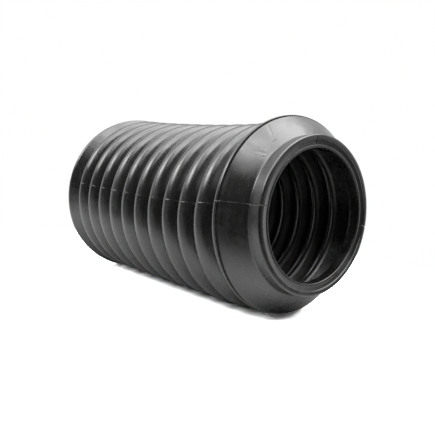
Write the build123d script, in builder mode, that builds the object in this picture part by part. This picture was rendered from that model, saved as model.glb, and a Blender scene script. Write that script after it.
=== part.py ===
from build123d import *

import os
from math import asin, atan2, cos, hypot, sin

# Rubber bellows boot: one moulding with twelve convolutions between two collars.
#
# Millimetres. The boot's own axis is Z and it stands on one collar: the origin is the centre of
# that collar's end face, and the other mouth looks up.

# ---- driving dimensions ------------------------------------------------------------------
crest_count = 12         # outer folds from end to end
pitch = 9.7              # from one crest to the next
crest_radius = 38.0      # outside of the folds: a 76 mm boot
end_crest_radius = 38.8  # the first and the last fold, which carry the shoulders, stand prouder
fold_depth = 4.2         # from crest to root, the same outside and inside
wall = 1.6               # measured along the radius, at a crest or at a root
end_wall = 2.2           # at the two end crests, which the shoulders thicken

crest_round = 3.6        # rounding outside: each fold is a full, beaded nose
root_round = 0.6         # rounding outside: the narrow bottom of the groove
inner_crest_round = 2.2  # rounding inside, behind the nose
inner_root_round = 1.4   # rounding inside: the ridge that the bore looks onto
end_crest_round = 1.5    # rounding outside of an end crest, where its flank meets the shoulder
inner_end_round = 1.0    # rounding inside, behind an end crest

bore_radius = 25.0       # grips a 50 mm shaft or tube
land_length = 4.5        # straight part of the bore in each collar
collar_radius = 30.0     # seat of the band clamp
collar_length = 5.5
shoulder_length = 8.5    # from the last crest's plane to the collar
shoulder_bulge = 40.0    # radius of the shoulder's slight crown, along its slope
collar_root_round = 0.8  # where the shoulder meets the collar

lip_inner_radius = 28.0  # the end face's outer ring stands proud of the inner one
lip_height = 0.5
rim_round = 0.8          # outer edge of the end face
bore_round = 0.4         # edge of the bore

# ---- derived ---------------------------------------------------------------------------------
root_radius = crest_radius - fold_depth
end_length = shoulder_length + collar_length
length = (crest_count - 1) * pitch + 2 * end_length
crest_heights = [end_length + pitch * i for i in range(crest_count)]
root_heights = [h + pitch / 2 for h in crest_heights[:-1]]


def flank_angle(depth, half_pitch, roundings):
    """Slope of the straight flank between a rounded crest and a rounded root, from the axis."""
    rise = depth - roundings
    return asin(roundings / hypot(rise, half_pitch)) + atan2(rise, half_pitch)


def corner(slope_up, slope_down):
    """How far a rounding of 1 mm pulls back the corner between two slopes that it replaces."""
    return (sin(slope_up) + sin(slope_down)) / sin(slope_up + slope_down) - 1


slope = flank_angle(fold_depth, pitch / 2, crest_round + root_round)
inner_slope = flank_angle(fold_depth, pitch / 2, inner_crest_round + inner_root_round)

outer_crest = crest_radius + crest_round * corner(slope, slope)
outer_root = root_radius - root_round * corner(slope, slope)
inner_crest = crest_radius - wall + inner_crest_round * corner(inner_slope, inner_slope)
inner_root = root_radius - wall - inner_root_round * corner(inner_slope, inner_slope)

# an end crest has a groove's flank on one side and the crowned shoulder on the other
end_flank_slope = atan2(end_crest_radius + end_crest_round * 0.6 - outer_root, pitch / 2)
shoulder_fall = end_crest_radius - collar_radius
shoulder_slope = (
    atan2(shoulder_fall, shoulder_length)
    - asin(hypot(shoulder_fall, shoulder_length) / 2 / shoulder_bulge)
)
outer_end_crest = end_crest_radius + end_crest_round * corner(end_flank_slope, shoulder_slope)
inner_end_crest = (
    end_crest_radius - end_wall + inner_end_round * corner(inner_slope, inner_slope)
)


def wave(crest, root, end_crest):
    """Corner points of the folded wall from the lowest crest to the highest: (radius, height)."""
    points = [(end_crest, crest_heights[0])]
    for low, high in zip(root_heights, crest_heights[1:]):
        points += [(root, low), (crest, high)]
    points[-1] = (end_crest, crest_heights[-1])
    return points


def at_radius(sketch, radius):
    """The section's corners that lie at one radius."""
    return sketch.vertices().filter_by_position(Axis.X, radius - 0.001, radius + 0.001)


# ---- the moulding ----------------------------------------------------------------------------
with BuildPart() as bellows_boot:
    with BuildSketch(Plane.XZ) as section:
        with BuildLine():
            outside = Polyline(*wave(outer_crest, outer_root, outer_end_crest))
            inside = Polyline(*wave(inner_crest, inner_root, inner_end_crest))
            for end, inward in ((0, 1), (length, -1)):
                last = 0 if inward == 1 else 1
                lip = end + inward * lip_height
                collar_top = end + inward * collar_length
                land_top = end + inward * (lip_height + land_length)
                RadiusArc(outside @ last, (collar_radius, collar_top), inward * shoulder_bulge)
                Polyline(
                    (collar_radius, collar_top),
                    (collar_radius, end),
                    (lip_inner_radius, end),
                    (lip_inner_radius, lip),
                    (bore_radius, lip),
                    (bore_radius, land_top),
                    inside @ last,
                )
        make_face()
        fillet(at_radius(section, outer_crest), radius=crest_round)
        fillet(at_radius(section, outer_end_crest), radius=end_crest_round)
        fillet(at_radius(section, outer_root), radius=root_round)
        fillet(at_radius(section, inner_crest), radius=inner_crest_round)
        fillet(at_radius(section, inner_end_crest), radius=inner_end_round)
        fillet(at_radius(section, inner_root), radius=inner_root_round)
        for corner_height, radius in (
            (0, rim_round),
            (length, rim_round),
            (collar_length, collar_root_round),
            (length - collar_length, collar_root_round),
        ):
            rim = at_radius(section, collar_radius)
            fillet(rim.sort_by_distance((collar_radius, corner_height))[0], radius=radius)
        for lip in (lip_height, length - lip_height):
            edge = at_radius(section, bore_radius)
            fillet(edge.sort_by_distance((bore_radius, lip))[0], radius=bore_round)
    revolve(axis=Axis.Z)

bellows_boot.part.label = "bellows_boot"

os.makedirs("parts", exist_ok=True)
export_step(bellows_boot.part, "parts/bellows_boot.step")

if __name__ == "__main__":
    box = bellows_boot.part.bounding_box()
    print("size", [round(v, 2) for v in box.size], "volume", round(bellows_boot.part.volume))
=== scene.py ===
"""Rubber bellows boot, dressed for its picture.

The frame holds the boot standing on one collar, with its axis on +Z. In the picture it lies on its
side: the camera is rolled, and the floor is an upright plane that touches the folds at +X. So +X is
down, -Y is the side that faces the camera, and +Z points to the open mouth. Lengths are in mm, and
MM turns them into metres where they enter Blender. Azimuths go round the axis, in degrees from +X.
"""
from math import asin, atan2, cos, exp, hypot, pi, radians, sin, tan, tau

import bmesh
import bpy
from mathutils import Matrix, Vector, noise

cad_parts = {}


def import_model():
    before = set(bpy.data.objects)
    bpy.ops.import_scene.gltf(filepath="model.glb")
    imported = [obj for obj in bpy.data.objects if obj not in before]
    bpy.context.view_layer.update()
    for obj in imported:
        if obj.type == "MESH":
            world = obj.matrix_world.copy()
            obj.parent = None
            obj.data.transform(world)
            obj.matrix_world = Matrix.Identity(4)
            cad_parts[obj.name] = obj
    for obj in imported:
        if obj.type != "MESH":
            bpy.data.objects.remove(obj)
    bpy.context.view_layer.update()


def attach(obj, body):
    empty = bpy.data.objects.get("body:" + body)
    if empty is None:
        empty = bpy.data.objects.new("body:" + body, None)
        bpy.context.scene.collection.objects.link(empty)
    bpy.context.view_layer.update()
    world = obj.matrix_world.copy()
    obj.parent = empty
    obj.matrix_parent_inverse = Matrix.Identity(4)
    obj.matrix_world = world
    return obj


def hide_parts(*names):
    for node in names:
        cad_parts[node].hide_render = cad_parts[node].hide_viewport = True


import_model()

MM = 0.001

# ---- the boot's own dimensions ---------------------------------------------------------
# As the solid has them, but for the folds: their shading in the photo asks for grooves 1.2 mm
# deeper than the solid's 4.2, for noses slimmer than its 3.6 and an end crest tighter than its
# 1.5. The inner roundings keep a wall behind the deeper grooves; the solid has 2.2 and 1.4.
CRESTS = 12
PITCH = 9.7
CREST_RADIUS = 38.0
END_CREST_RADIUS = 38.8
FOLD_DEPTH = 5.4
WALL, END_WALL = 1.6, 2.2
CREST_ROUND, ROOT_ROUND, END_CREST_ROUND = 3.1, 0.6, 1.3
INNER_CREST_ROUND, INNER_ROOT_ROUND, INNER_END_ROUND = 1.7, 1.7, 1.0
BORE_RADIUS, LAND = 25.0, 4.5        # the grip of each collar and the length of its bore
COLLAR_RADIUS, COLLAR = 30.0, 5.5
SHOULDER = 8.5                       # from the end crest to the collar, along the axis
SHOULDER_BULGE = 40.0                # radius of its slight crown
LIP_RADIUS, LIP = 28.0, 0.5          # the end face's outer ring stands proud by the lip
END = SHOULDER + COLLAR
LENGTH = (CRESTS - 1) * PITCH + 2 * END

BORE_INNER_ROUND, BORE_ROUND = 0.3, 0.4      # at the inner and the outer edge of each bore
LIP_FOOT_ROUND, LIP_ROUND = 0.06, 0.18
LIP_SLANT = 0.15                     # its foot is drawn in by this much
COLLAR_ROUND = 0.8                   # at its rim and where it meets the shoulder
SCRIBE_RADIUS, SCRIBE_DEEP, SCRIBE_ROUND = 26.0, 0.12, 0.05   # a fine line round the end face
END_CORNER = 0.6         # about how far an end crest's corner stands past its top, in roundings

# parts that each arc is cut into
CREST_PARTS, END_CREST_PARTS, ROOT_PARTS = 10, 8, 4
INNER_PARTS, INNER_END_PARTS, SHOULDER_PARTS = 5, 4, 10

SEGMENTS = 180           # columns of the lathed mesh, before the parting lines add theirs
PARTING = (-97.5, 82.5)  # azimuths of the mould's two parting lines
TICK = 188.0             # azimuth of a nick in the upper rim's ring
FINE = (0.12, 0.28, 0.5, 0.8)        # distances of the close columns beside such a line
FINE_REACH = 1.3                     # the even columns nearer than this give way to them


# ---- profile ---------------------------------------------------------------------------
def rounded(points, radii, parts):
    """The polyline with its corners replaced by arcs: corner i gets radii[i], cut in parts[i]."""
    out = []
    for i, p in enumerate(points):
        if not radii[i] or i in (0, len(points) - 1):
            out.append(p)
            continue
        a = (Vector(points[i - 1]) - Vector(p)).normalized()
        b = (Vector(points[i + 1]) - Vector(p)).normalized()
        half = a.angle(b) / 2
        centre = Vector(p) + (a + b).normalized() * radii[i] / sin(half)
        start = Vector(p) + a * radii[i] / tan(half)
        end = Vector(p) + b * radii[i] / tan(half)
        u, v = start - centre, end - centre
        turn = u.angle(v)
        for k in range(parts[i] + 1):
            t = k / parts[i]
            w = (u * sin((1 - t) * turn) + v * sin(t * turn)) / sin(turn)
            out.append(tuple(centre + w))
    return out


def flank_angle(depth, half_pitch, roundings):
    """Slope of the straight flank between a rounded crest and a rounded root."""
    rise = depth - roundings
    return asin(roundings / hypot(rise, half_pitch)) + atan2(rise, half_pitch)


def corner(up, down):
    """How far a rounding of 1 mm pulls back the corner between two slopes that it replaces."""
    return (sin(up) + sin(down)) / sin(up + down) - 1


# sharp corners of the section: where they stand so that the rounded crests and roots come right
SLOPE = flank_angle(FOLD_DEPTH, PITCH / 2, CREST_ROUND + ROOT_ROUND)
INNER_SLOPE = flank_angle(FOLD_DEPTH, PITCH / 2, INNER_CREST_ROUND + INNER_ROOT_ROUND)
ROOT_RADIUS = CREST_RADIUS - FOLD_DEPTH
OUTER_CREST = CREST_RADIUS + CREST_ROUND * corner(SLOPE, SLOPE)
OUTER_ROOT = ROOT_RADIUS - ROOT_ROUND * corner(SLOPE, SLOPE)
INNER_CREST = CREST_RADIUS - WALL + INNER_CREST_ROUND * corner(INNER_SLOPE, INNER_SLOPE)
INNER_ROOT = ROOT_RADIUS - WALL - INNER_ROOT_ROUND * corner(INNER_SLOPE, INNER_SLOPE)
END_FLANK = atan2(END_CREST_RADIUS + END_CREST_ROUND * END_CORNER - OUTER_ROOT, PITCH / 2)
SHOULDER_FALL = END_CREST_RADIUS - COLLAR_RADIUS
SHOULDER_SLOPE = (
    atan2(SHOULDER_FALL, SHOULDER) - asin(hypot(SHOULDER_FALL, SHOULDER) / 2 / SHOULDER_BULGE)
)
OUTER_END_CREST = END_CREST_RADIUS + END_CREST_ROUND * corner(END_FLANK, SHOULDER_SLOPE)
INNER_END_CREST = (
    END_CREST_RADIUS - END_WALL + INNER_END_ROUND * corner(INNER_SLOPE, INNER_SLOPE)
)


# A corner of the section is (radius, height, rounding, parts of its arc), unrounded at 0.
def shoulder_arc(low, high):
    """Corners of the crowned shoulder between its two ends, ends left out."""
    a, b = Vector(low), Vector(high)
    chord = b - a
    normal = Vector((-chord.y, chord.x)).normalized()
    if normal.x < 0:
        normal = -normal
    sag = chord.length ** 2 / (8 * SHOULDER_BULGE)
    shares = [t / SHOULDER_PARTS for t in range(1, SHOULDER_PARTS)]
    return [(*(a.lerp(b, t) + normal * sag * 4 * t * (1 - t)), 0.0, 1) for t in shares]


def end_corners(upper):
    """Corners of one end, from the inside to the shoulder."""
    ring = [
        (BORE_RADIUS, LIP + LAND, BORE_INNER_ROUND, 3),
        (BORE_RADIUS, LIP, BORE_ROUND, 4),
        (SCRIBE_RADIUS, LIP, SCRIBE_ROUND, 1),
        (SCRIBE_RADIUS + SCRIBE_DEEP, LIP + SCRIBE_DEEP, SCRIBE_ROUND, 1),
        (SCRIBE_RADIUS + 2 * SCRIBE_DEEP, LIP, SCRIBE_ROUND, 1),
        (LIP_RADIUS - LIP_SLANT, LIP, LIP_FOOT_ROUND, 1),
        (LIP_RADIUS, 0.0, LIP_ROUND, 3),
        (COLLAR_RADIUS, 0.0, COLLAR_ROUND, 6),
        (COLLAR_RADIUS, COLLAR, COLLAR_ROUND, 4),
    ]
    return [(r, LENGTH - z if upper else z, rounding, parts) for r, z, rounding, parts in ring]


def folds(end_crest, crest, root, heights):
    """Corners of the folds, crest and root by turns, from one end crest to the other."""
    half = (heights[1] - heights[0]) / 2
    out = []
    for z in heights:
        r, rounding, parts = end_crest if z in (heights[0], heights[-1]) else crest
        out.append((r, z, rounding, parts))
        r, rounding, parts = root
        out.append((r, z + half, rounding, parts))
    return out[:-1]


def profile():
    """Closed section of the wall, (radius, height), from the lower bore's inner edge outwards."""
    crests = [END + i * PITCH for i in range(CRESTS)]
    lower = (OUTER_END_CREST, END)
    upper = (OUTER_END_CREST, LENGTH - END)
    corners = [
        *end_corners(upper=False),
        *shoulder_arc((COLLAR_RADIUS, COLLAR), lower),
        *folds((OUTER_END_CREST, END_CREST_ROUND, END_CREST_PARTS),
               (OUTER_CREST, CREST_ROUND, CREST_PARTS),
               (OUTER_ROOT, ROOT_ROUND, ROOT_PARTS), crests),
        *shoulder_arc(upper, (COLLAR_RADIUS, LENGTH - COLLAR)),
        *reversed(end_corners(upper=True)),
        *folds((INNER_END_CREST, INNER_END_ROUND, INNER_END_PARTS),
               (INNER_CREST, INNER_CREST_ROUND, INNER_PARTS),
               (INNER_ROOT, INNER_ROOT_ROUND, INNER_PARTS), crests[::-1]),
    ]
    # the loop closes on its first corner, which stays sharp and is kept once
    corners.append(corners[0])
    radii, heights, roundings, parts = zip(*corners)
    return rounded(list(zip(radii, heights)), roundings, parts)[:-1]


def azimuths():
    """Column angles: even all round, with close columns at the parting lines and the nick."""
    angles = [tau * i / SEGMENTS for i in range(SEGMENTS)]
    for line in (*PARTING, TICK):
        centre = radians(line) % tau
        reach = FINE_REACH / CREST_RADIUS
        near = [a for a in angles if abs((a - centre + pi) % tau - pi) > reach]
        extra = [centre] + [centre + s * f / CREST_RADIUS for f in FINE for s in (-1, 1)]
        angles = sorted(near + [a % tau for a in extra])
    return angles


# ---- how the soft boot lies --------------------------------------------------------------
SAG = 1.36               # its middle flattens by this much under its own weight
SPREAD = 0.9             # and widens by this share of it
SAG_REACH = 1.9          # half length over which it sags, in crest radii
LIFT_FOLD, LIFT_MOUTH = 1.77, 2.96   # the stiff upper end stands off the floor
MOUTH_ASIDE = 1.0        # and leans to the camera's side
BACK_SETTLE = 0.8        # the far end's top comes down a little more
TOP_FOLD = LENGTH - END
LIFT_FROM = TOP_FOLD - 2 * PITCH


def settled(x, y, z):
    """Where a point of the straight boot lies."""
    t = (z - LENGTH / 2) / CREST_RADIUS
    bow = max(0.0, 1 - (t / SAG_REACH) ** 2)
    sag = SAG * bow
    lean = 2 * SAG * t / SAG_REACH ** 2 / CREST_RADIUS if bow else 0.0
    past = max(0.0, (z - TOP_FOLD) / END)
    back = BACK_SETTLE * max(0.0, 1 - abs(z - END) / PITCH) * max(0.0, -x / CREST_RADIUS)
    if z <= TOP_FOLD:
        lift = LIFT_FOLD * (max(0.0, z - LIFT_FROM) / (TOP_FOLD - LIFT_FROM)) ** 2
    else:
        lift = LIFT_FOLD + (LIFT_MOUTH - LIFT_FOLD) * past
    return (
        x * (1 - sag / CREST_RADIUS) + sag - lift + back,
        y * (1 + SPREAD * sag / CREST_RADIUS) - MOUTH_ASIDE * past,
        z + lean * x,
    )


# ---- the moulding's own faults -----------------------------------------------------------
WAVER, WAVER_SIZE = 0.12, 22.0       # how far it strays from a true circle, over what length
WAVER_FADE = 10.0                    # the end faces stay flat, and it grows over this length
FLASH, FLASH_WIDTH = 0.16, 0.11      # height and half width of the flash on the parting lines
FLASH_PIECE = 1.7                    # length of its ragged pieces,
RAG_LEAST, RAG_MEAN, RAG_SWING = 0.1, 0.55, 0.9   # and their heights as shares of it
FLASH_STEP, FLASH_FADE = 0.05, 6.0   # the mould halves' mismatch there, and how far it is seen
FLASH_FROM = COLLAR - 0.4            # nearer to an end than this, the flash turns into a split
NOTCH, NOTCH_DEEP = 0.5, 0.3         # that split, on the collar and in the end face
NOTCH_FROM = LIP_RADIUS - 1.6        # it begins outside this radius
NICK, NICK_WIDTH = 0.35, 0.3         # depth and half width of the nick in the rim's ring
NICK_FROM, NICK_TO = LIP_RADIUS - 1.0, LIP_RADIUS + 1.2
FACE_DEEP = 0.9                      # what lies this near to an end belongs to its face
SECOND = Vector((31, 7, 3))          # takes a second pattern of the same noise


def apart(azimuth, line):
    """Signed distance round the boot from a line along it, in mm at the folds' radius."""
    return ((azimuth - radians(line) + pi) % tau - pi) * CREST_RADIUS


def moulded(r, z, azimuth, outside):
    """Radius and height of a point of the wall with the moulding's faults."""
    at = Vector((r * cos(azimuth), r * sin(azimuth), z))
    from_end = min(z, LENGTH - z)
    dr = WAVER * noise.noise(at / WAVER_SIZE)
    dz = WAVER * noise.noise(at / WAVER_SIZE + SECOND) * min(1.0, from_end / WAVER_FADE)
    if not outside:
        return r + dr, z + dz
    inwards = 1 if z < LENGTH / 2 else -1
    for line in PARTING:
        s = apart(azimuth, line)
        rag = RAG_MEAN + RAG_SWING * noise.noise(Vector((line, 0, z / FLASH_PIECE)))
        ridge = exp(-(s / FLASH_WIDTH) ** 2)
        dr += FLASH_STEP * exp(-abs(s) / FLASH_FADE) * (0.5 if s > 0 else -0.5)
        if from_end > FLASH_FROM:
            dr += FLASH * max(RAG_LEAST, rag) * ridge
        elif r > NOTCH_FROM:
            dr -= NOTCH * ridge
            if from_end < FACE_DEEP:
                dz += inwards * NOTCH_DEEP * ridge
    if z > LENGTH - FACE_DEEP and NICK_FROM < r < NICK_TO:
        dz -= NICK * exp(-(apart(azimuth, TICK) / NICK_WIDTH) ** 2)
    return r + dr, z + dz


# ---- boot ------------------------------------------------------------------------------
UPPER_LAND = LENGTH - LIP - LAND + 0.5   # just above the upper bore's inner edge


def lathe(name):
    """The section turned round the axis, moulded and settled, with its straight shape as rest."""
    section = profile()
    inner_from = max(i for i, (r, z) in enumerate(section) if z > UPPER_LAND) + 1
    columns = azimuths()
    verts, rest = [], []
    for a in columns:
        for i, (r, z) in enumerate(section):
            r, z = moulded(r, z, a, 0 < i < inner_from)
            x, y = r * cos(a), r * sin(a)
            rest.extend((x * MM, y * MM, z * MM))
            verts.append(Vector(settled(x, y, z)) * MM)
    n = len(section)
    faces = []
    for i in range(len(columns)):
        j = (i + 1) % len(columns)
        for k in range(n):
            m = (k + 1) % n
            faces.append((i * n + k, i * n + m, j * n + m, j * n + k))
    mesh = bpy.data.meshes.new(name)
    mesh.from_pydata(verts, [], faces)
    mesh.attributes.new("rest", "FLOAT_VECTOR", "POINT").data.foreach_set("vector", rest)
    for poly in mesh.polygons:
        poly.use_smooth = True
    bm = bmesh.new()
    bm.from_mesh(mesh)
    bmesh.ops.recalc_face_normals(bm, faces=bm.faces)
    bm.to_mesh(mesh)
    bm.free()
    piece = bpy.data.objects.new(name, mesh)
    bpy.context.collection.objects.link(piece)
    return piece


boot = lathe("boot_rubber")


# ---- nodes -----------------------------------------------------------------------------
MIX_A, MIX_B, MIX_COLOUR = 6, 7, 2   # a Mix node's colour sockets: two inputs and the output


def node(tree, kind, inputs=None, **settings):
    """A new node; an input is either another node's socket, which is linked, or a plain value."""
    made = tree.nodes.new(kind)
    for key, value in settings.items():
        setattr(made, key, value)
    for key, value in (inputs or {}).items():
        if isinstance(value, bpy.types.NodeSocket):
            tree.links.new(value, made.inputs[key])
        else:
            made.inputs[key].default_value = value
    return made


def op(tree, operation, *values):
    """A calculation with numbers."""
    return node(tree, "ShaderNodeMath", dict(enumerate(values)), operation=operation).outputs[0]


def vec(tree, operation, *values, out=0, **named):
    """A calculation with vectors; out=1 where its result is a number."""
    inputs = dict(enumerate(values)) | named
    return node(tree, "ShaderNodeVectorMath", inputs, operation=operation).outputs[out]


def ramp(tree, value, low, high, to_low=0.0, to_high=1.0):
    """The value's smooth climb from one number to another as it goes from low to high."""
    return node(tree, "ShaderNodeMapRange", {
        "Value": value, "From Min": low, "From Max": high, "To Min": to_low, "To Max": to_high,
    }, interpolation_type="SMOOTHSTEP").outputs[0]


def patches(tree, at, size, detail, rough, warp=0.0):
    """Noise between 0 and 1 in patches of a size."""
    return node(tree, "ShaderNodeTexNoise", {
        "Vector": at, "Scale": 1 / size, "Detail": detail, "Roughness": rough, "Distortion": warp,
    }).outputs[0]


def tinted(tree, share, colour, over):
    """A colour with a share of another one over it."""
    return node(tree, "ShaderNodeMix", {
        "Factor": share, MIX_A: colour, MIX_B: over}, data_type="RGBA").outputs[MIX_COLOUR]


def mixed(tree, share, first, second):
    """The first shader, with a share of the second."""
    return node(tree, "ShaderNodeMixShader", {0: share, 1: first, 2: second}).outputs[0]


def ray_kinds(tree):
    """1 for rays straight from the camera, and 1 for those mirrored or let through by an object."""
    path = node(tree, "ShaderNodeLightPath").outputs
    mirrored = op(tree, "MAXIMUM", path["Is Glossy Ray"], path["Is Transmission Ray"])
    return path["Is Camera Ray"], mirrored


# ---- rubber ----------------------------------------------------------------------------
RUBBER = (0.0075, 0.0078, 0.0073, 1)
BLOOM_AND_HIGHLIGHT = (0.028, 0.027, 0.027, 1)     # the grey film that old stock carries, also the colour of the painted highlight on the inner folds' edges
DUST = (0.30, 0.29, 0.27, 1)
GLOSS, DULL = 0.25, 0.40             # roughness where it is clean and where it is filmed
IOR, SPECULAR = 1.65, 1.0            # stronger than real rubber's, so that the lamps can be weak

# patches as size, detail, roughness and warp; a RANGE is the part of the noise that they climb
FILM = (13.0, 4.0, 0.6, 0.6)
FILM_RANGE = (0.42, 0.72)
SMEAR = (1.5, 3.0, 0.6)
SMEAR_RANGE = (0.40, 0.70)
MOTTLE = (1.3, 3.0, 0.65)
GRAIN = (0.28, 2.0, 0.6)
SWELL = (6.0, 1.0, 0.4)
TOOLING = (0.35, 1.0, 0.5)
ROUND_IT = (0.12, 0.12, 1.0)         # smears and tool marks are drawn out round the boot
# the last share is how much pale film the painted highlight on the inner folds' edges adds
FILM_SHARE, SMEAR_SHARE, MOTTLE_SHARE, EDGE_HIGHLIGHT_SHARE = 0.7, 0.25, 0.5, 0.9
GRAIN_HIGH, MOTTLE_HIGH, SWELL_HIGH, TOOLING_HIGH = 0.006, 0.006, 0.10, 0.003

SPECK_CELL, SPECKS_FROM = 2.6, 0.62  # a speck of dust sits in the middle of a chosen cell
SPECK_EDGE, SPECK_FULL = 0.075, 0.03         # its radius, in cells
SPECK_SHARE, PALE_SHARE = 0.5, 0.35  # how much dust shows in specks and on pale strokes

EDGE_FROM, EDGE_FULL = 32.4, 31.6    # radii between which the inner folds' edges are painted pale, a painted highlight along them
GROOVE_FROM, GROOVE_FULL = 37.3, 35.3    # and between which the outer grooves are painted darker, as painted shade
GROOVE_END, GROOVE_KEPT = 32.3, 32.6     # down to their bottoms, past which the inside begins
GROOVE_SHADE_SHARE = 0.8                   # how much of the film they lose: the painted shade
ENDS_OUT, ENDS_FULL = 3.0, 4.0       # neither is on the ends, up to here past the end crests

# strokes on the surface: azimuth and height of both ends, half width, depth, paleness
STROKES = (
    (216.0, 127.2, 212.5, 127.2, 0.34, 0.45, 0.0),
    (212.5, 127.2, 207.0, 126.4, 0.30, 0.40, 0.0),
    (209.0, 122.7, 212.0, 125.2, 0.70, 0.10, 0.3),
    (229.5, 125.0, 226.5, 127.6, 0.60, 0.06, 0.5),
    (232.0, 126.4, 229.0, 128.0, 0.35, 0.05, 0.2),
    (256.0, 126.7, 251.0, 127.7, 0.22, 0.07, 0.9),
    (278.0, 112.9, 282.0, 112.1, 0.20, 0.05, 0.9),
    (60.0, 126.0, 66.0, 124.0, 0.30, 0.08, 0.3),
    (140.0, 8.5, 147.0, 10.0, 0.30, 0.10, 0.2),
    (20.0, 127.5, 14.0, 125.5, 0.25, 0.06, 0.6),
)
STROKE_EDGE, STROKE_FULL = 1.6, 0.2  # where a stroke ends and where it is whole, in half widths


def surface_point(azimuth, z):
    """A point of the straight boot's outside: on the folds' crests or on a shoulder."""
    share = min(1.0, max(0.0, (min(z, LENGTH - z) - COLLAR) / SHOULDER))
    r = COLLAR_RADIUS + SHOULDER_FALL * share if share < 1 else CREST_RADIUS
    return Vector((r * cos(radians(azimuth)), r * sin(radians(azimuth)), z))


def stroke(tree, at, start, end, half_width):
    """1 on the line between two points of the surface, 0 beyond its width."""
    along = (end - start).normalized()
    away = vec(tree, "SUBTRACT", at, tuple(start))
    far = vec(tree, "DOT_PRODUCT", away, tuple(along), out=1)
    far = op(tree, "MINIMUM", op(tree, "MAXIMUM", far, 0.0), (end - start).length)
    nearest = vec(tree, "SCALE", tuple(along), Scale=far)
    gap = vec(tree, "LENGTH", vec(tree, "SUBTRACT", away, nearest), out=1)
    return ramp(tree, gap, half_width * STROKE_EDGE, half_width * STROKE_FULL)


def strokes(tree, at):
    """Depth and paleness of all the strokes."""
    depth, pale = 0.0, 0.0
    for azimuth, z, to_azimuth, to_z, half_width, deep, paleness in STROKES:
        start, end = surface_point(azimuth, z), surface_point(to_azimuth, to_z)
        mark = stroke(tree, at, start, end, half_width)
        depth = op(tree, "ADD", depth, op(tree, "MULTIPLY", mark, deep))
        pale = op(tree, "ADD", pale, op(tree, "MULTIPLY", mark, paleness))
    return depth, pale


def specks(tree, at):
    """1 on specks of dust: the middles of some cells."""
    cell = node(tree, "ShaderNodeTexVoronoi", {"Vector": at, "Scale": 1 / SPECK_CELL})
    drawn = node(tree, "ShaderNodeSeparateColor", {0: cell.outputs["Color"]}).outputs[0]
    chosen = op(tree, "GREATER_THAN", drawn, SPECKS_FROM)
    middle = ramp(tree, cell.outputs["Distance"], SPECK_EDGE, SPECK_FULL)
    return op(tree, "MULTIPLY", middle, chosen)


def fold_masks(tree, at):
    """1 on the inner folds' edges, for their painted highlight, and 1 in the outer grooves, for
    their painted shade.
    """
    x, y, z = node(tree, "ShaderNodeSeparateXYZ", {0: at}).outputs
    squares = op(tree, "ADD", op(tree, "MULTIPLY", x, x), op(tree, "MULTIPLY", y, y))
    radius = op(tree, "SQRT", squares)
    between = op(
        tree, "MULTIPLY", ramp(tree, z, END + ENDS_OUT, END + ENDS_FULL),
        ramp(tree, z, TOP_FOLD - ENDS_OUT, TOP_FOLD - ENDS_FULL),
    )
    edge_highlight = op(tree, "MULTIPLY", ramp(tree, radius, EDGE_FROM, EDGE_FULL), between)
    groove_shade = op(tree, "MULTIPLY", ramp(tree, radius, GROOVE_FROM, GROOVE_FULL), between)
    groove_shade = op(tree, "MULTIPLY", groove_shade, ramp(tree, radius, GROOVE_END, GROOVE_KEPT))
    return edge_highlight, groove_shade


def rubber():
    """Near-black rubber under a patchy grey film, in the coordinates of the straight boot, with a
    painted highlight on the inner folds' edges and painted shade in the outer grooves.
    """
    material = bpy.data.materials.new("moulded_rubber")
    material.use_nodes = True
    tree = material.node_tree
    shader = tree.nodes["Principled BSDF"]
    rest = node(tree, "ShaderNodeAttribute", attribute_name="rest").outputs["Vector"]
    at = vec(tree, "SCALE", rest, Scale=1 / MM)
    round_it = vec(tree, "MULTIPLY", at, ROUND_IT)

    film = ramp(tree, patches(tree, at, *FILM), *FILM_RANGE)
    smear = ramp(tree, patches(tree, round_it, *SMEAR), *SMEAR_RANGE)
    mottle = patches(tree, at, *MOTTLE)
    edge_highlight, groove_shade = fold_masks(tree, at)
    depth, pale = strokes(tree, at)

    film_and_painted_light = op(tree, "ADD", op(tree, "MULTIPLY", film, FILM_SHARE),
               op(tree, "MULTIPLY", smear, SMEAR_SHARE))
    uneven = op(tree, "MULTIPLY_ADD", mottle, MOTTLE_SHARE, -MOTTLE_SHARE / 2)
    film_and_painted_light = op(tree, "ADD", film_and_painted_light, uneven)
    # painted highlight: more of the pale film on the inner folds' edges
    film_and_painted_light = op(tree, "ADD", film_and_painted_light, op(tree, "MULTIPLY", edge_highlight, EDGE_HIGHLIGHT_SHARE))
    # painted shade: less of the pale film in the outer grooves, so they stay darker
    film_and_painted_light = op(tree, "MULTIPLY", film_and_painted_light, op(tree, "MULTIPLY_ADD", groove_shade, -GROOVE_SHADE_SHARE, 1.0))
    dusty = op(tree, "ADD", op(tree, "MULTIPLY", specks(tree, at), SPECK_SHARE),
               op(tree, "MULTIPLY", pale, PALE_SHARE))
    colour = tinted(tree, dusty, tinted(tree, film_and_painted_light, RUBBER, BLOOM_AND_HIGHLIGHT), DUST)
    tree.links.new(colour, shader.inputs["Base Color"])
    tree.links.new(ramp(tree, film_and_painted_light, 0.0, 1.0, GLOSS, DULL), shader.inputs["Roughness"])

    height = op(tree, "MULTIPLY", patches(tree, at, *GRAIN), GRAIN_HIGH)
    height = op(tree, "MULTIPLY_ADD", mottle, MOTTLE_HIGH, height)
    height = op(tree, "MULTIPLY_ADD", patches(tree, at, *SWELL), SWELL_HIGH, height)
    height = op(tree, "MULTIPLY_ADD", patches(tree, round_it, *TOOLING), TOOLING_HIGH, height)
    height = op(tree, "SUBTRACT", height, depth)
    bump = node(tree, "ShaderNodeBump", {"Height": height, "Distance": MM, "Strength": 1.0})
    tree.links.new(bump.outputs[0], shader.inputs["Normal"])
    shader.inputs["IOR"].default_value = IOR
    shader.inputs["Specular IOR Level"].default_value = SPECULAR
    return material


boot.data.materials.append(rubber())
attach(boot, "root")
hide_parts("bellows_boot")


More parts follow.
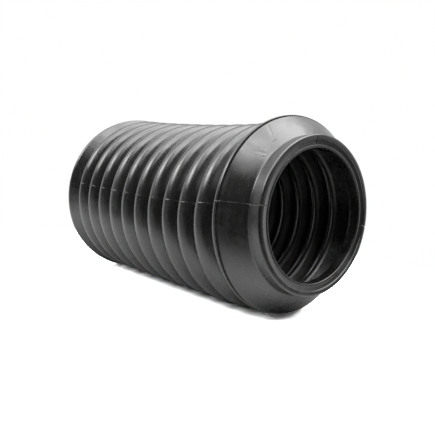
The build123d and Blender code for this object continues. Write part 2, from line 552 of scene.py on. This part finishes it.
# ---- floor -----------------------------------------------------------------------------
BACKDROP = Vector((0.0, 0.6557, -0.7551))    # from the boot to the backdrop, level
BESIDE = Vector((0.0, 0.7551, 0.6557))       # to the picture's right
ABOVE = Vector((-1.0, 0.0, 0.0))
FLOOR_X = 38.0               # the plane that the folds touch
FLOOR_HALF = 1500.0          # half its side
PAPER = 0.85                 # its grey to all but the camera
# the paper's grey is painted darker, as painted shade, to a share of that, between two distances
# from the middle of the boot:
DIM = (BESIDE - BACKDROP).normalized()       # to the dim side of the room
DIM_FROM, DIM_TO, DIM_SHARE = 50.0, 135.0, 0.08
NEARER = Vector((0.0, -0.9, 0.436))          # and towards the camera
NEAR_FROM, NEAR_TO, NEAR_SHARE = 35.0, 130.0, 0.2
SEEN_WHITE = (9.5, 9.5, 9.5, 1)      # to the camera it is past white, so only deep shade shows
NEAR, FAR = 110.0, 190.0     # from the middle: paper inside, plain white beyond
BEHIND = 100.0               # reflections see that white on the backdrop's side, whole from here


def floor():
    """Paper under the boot with painted shade towards the camera and the dim side, plain white far
    off, and clear where it is seen from below.
    """
    mesh = bpy.data.meshes.new("floor")
    corners = ((-1, -1), (1, -1), (1, 1), (-1, 1))
    half = FLOOR_HALF * MM
    mesh.from_pydata([(FLOOR_X * MM, y * half, z * half) for y, z in corners], [], [(3, 2, 1, 0)])
    plane = bpy.data.objects.new("floor", mesh)
    bpy.context.collection.objects.link(plane)
    material = bpy.data.materials.new("floor")
    material.use_nodes = True
    tree = material.node_tree
    tree.nodes.clear()

    def paper(value):
        return node(tree, "ShaderNodeBsdfDiffuse", {"Color": value}).outputs[0]

    def towards(direction):
        return vec(tree, "DOT_PRODUCT", offset, tuple(direction), out=1)

    place = node(tree, "ShaderNodeNewGeometry").outputs
    middle = (FLOOR_X * MM, 0.0, LENGTH / 2 * MM)
    offset = vec(tree, "SUBTRACT", place["Position"], middle)
    away = vec(tree, "LENGTH", offset, out=1)
    beyond = ramp(tree, away, NEAR * MM, FAR * MM)
    behind = op(tree, "MULTIPLY", beyond, ramp(tree, towards(BACKDROP), 0.0, BEHIND * MM))
    # painted shade: the paper gets greyer towards the camera and the dim side of the room
    painted_shade_paper = op(
        tree, "MULTIPLY",
        ramp(tree, towards(DIM), DIM_FROM * MM, DIM_TO * MM, PAPER, PAPER * DIM_SHARE),
        ramp(tree, towards(NEARER), NEAR_FROM * MM, NEAR_TO * MM, 1.0, NEAR_SHARE),
    )
    white = node(tree, "ShaderNodeEmission", {"Strength": 1.0}).outputs[0]
    camera_ray, mirrored = ray_kinds(tree)
    seen = mixed(tree, beyond, paper(SEEN_WHITE), white)
    reflected = mixed(tree, behind, paper(painted_shade_paper), white)
    surface = mixed(tree, mirrored, paper(painted_shade_paper), reflected)
    surface = mixed(tree, camera_ray, surface, seen)
    clear = node(tree, "ShaderNodeBsdfTransparent").outputs[0]
    surface = mixed(tree, place["Backfacing"], surface, clear)
    node(tree, "ShaderNodeOutputMaterial", {"Surface": surface})
    mesh.materials.append(material)


floor()


# ---- light -----------------------------------------------------------------------------
# Lamps as name, azimuth, elevation, width and radiance: the azimuth goes from the backdrop to the
# picture's right, the elevation is above the floor, and the width is in degrees too. The places
# were worked out from what the smooth shoulder and the folds reflect in the photo.
LAMPS = (
    ("overhead", 95, 74, 70, 9.5),
    ("high_right", 84, 57, 34, 5.0),
    ("left", -112, 38, 22, 18.0),
    ("left_back", -88, 34, 22, 7.0),
    ("left_front", -136, 40, 22, 9.0),
    ("left_high", -106, 56, 36, 9.0),
    ("high_front", 168, 58, 36, 6.0),
    ("high_back", -30, 62, 40, 1.5),
)
LEVEL = 0.28             # scales them all; a level surface then gets 1.5 times the plain level
ROOM_FRONT, ROOM_BACK = 0.06, 1.0    # what reflections see in front of the boot and behind it
ROOM_FROM, ROOM_TO = -0.35, 0.55     # and where one turns to the other, as cosines
ROOM_FILL = 0.015                    # what the rest of the light gets from it


def soft(name, azimuth, elevation, width, radiance):
    """A big soft lamp far off."""
    a, h = radians(azimuth), radians(elevation)
    toward = (BACKDROP * cos(a) + BESIDE * sin(a)) * cos(h) + ABOVE * sin(h)
    light = bpy.data.lights.new(name, "SUN")
    light.angle = radians(width)
    light.energy = radiance * LEVEL * pi * sin(radians(width / 2)) ** 2
    lamp = bpy.data.objects.new(name, light)
    lamp.location = toward
    lamp.rotation_mode = "QUATERNION"
    lamp.rotation_quaternion = toward.to_track_quat("Z", "Y")
    bpy.context.collection.objects.link(lamp)


for row in LAMPS:
    soft(*row)


def world():
    """White to the camera, the room to reflections, and a faint fill for the rest."""
    made = bpy.data.worlds.new("studio")
    made.use_nodes = True
    bpy.context.scene.world = made
    tree = made.node_tree
    tree.nodes.clear()

    def glow(strength):
        return node(tree, "ShaderNodeBackground", {
            "Color": (1, 1, 1, 1), "Strength": strength}).outputs[0]

    facing = vec(tree, "DOT_PRODUCT", node(tree, "ShaderNodeTexCoord").outputs["Generated"],
                 tuple(BACKDROP), out=1)
    room = ramp(tree, facing, ROOM_FROM, ROOM_TO, ROOM_FRONT, ROOM_BACK)
    camera_ray, mirrored = ray_kinds(tree)
    sky = mixed(tree, mirrored, glow(ROOM_FILL), glow(room))
    sky = mixed(tree, camera_ray, sky, glow(1.0))
    node(tree, "ShaderNodeOutputWorld", {"Surface": sky})


world()

# ---- camera ----------------------------------------------------------------------------
CAMERA_AT = Vector((-19.69, -166.69, 269.93)) * MM
LOOK = Vector((0.0968, 0.65264, -0.75146)).normalized()
UP = Vector((-0.99153, -0.00244, -0.12984))  # the camera is rolled until +X is down
SENSOR, LENS = 36.0, 48.09                   # mm, as Blender takes them
CLIP_START, CLIP_END = 0.01, 20.0            # m

data = bpy.data.cameras.new("camera")
data.sensor_width = SENSOR
data.sensor_fit = "AUTO"
data.lens = LENS
data.clip_start, data.clip_end = CLIP_START, CLIP_END
camera = bpy.data.objects.new("camera", data)
right = LOOK.cross(UP).normalized()
turned = Matrix((right, right.cross(LOOK), -LOOK)).transposed()
camera.matrix_world = Matrix.Translation(CAMERA_AT) @ turned.to_4x4()
bpy.context.collection.objects.link(camera)
bpy.context.scene.camera = camera
bpy.context.scene.view_settings.view_transform = "Standard"
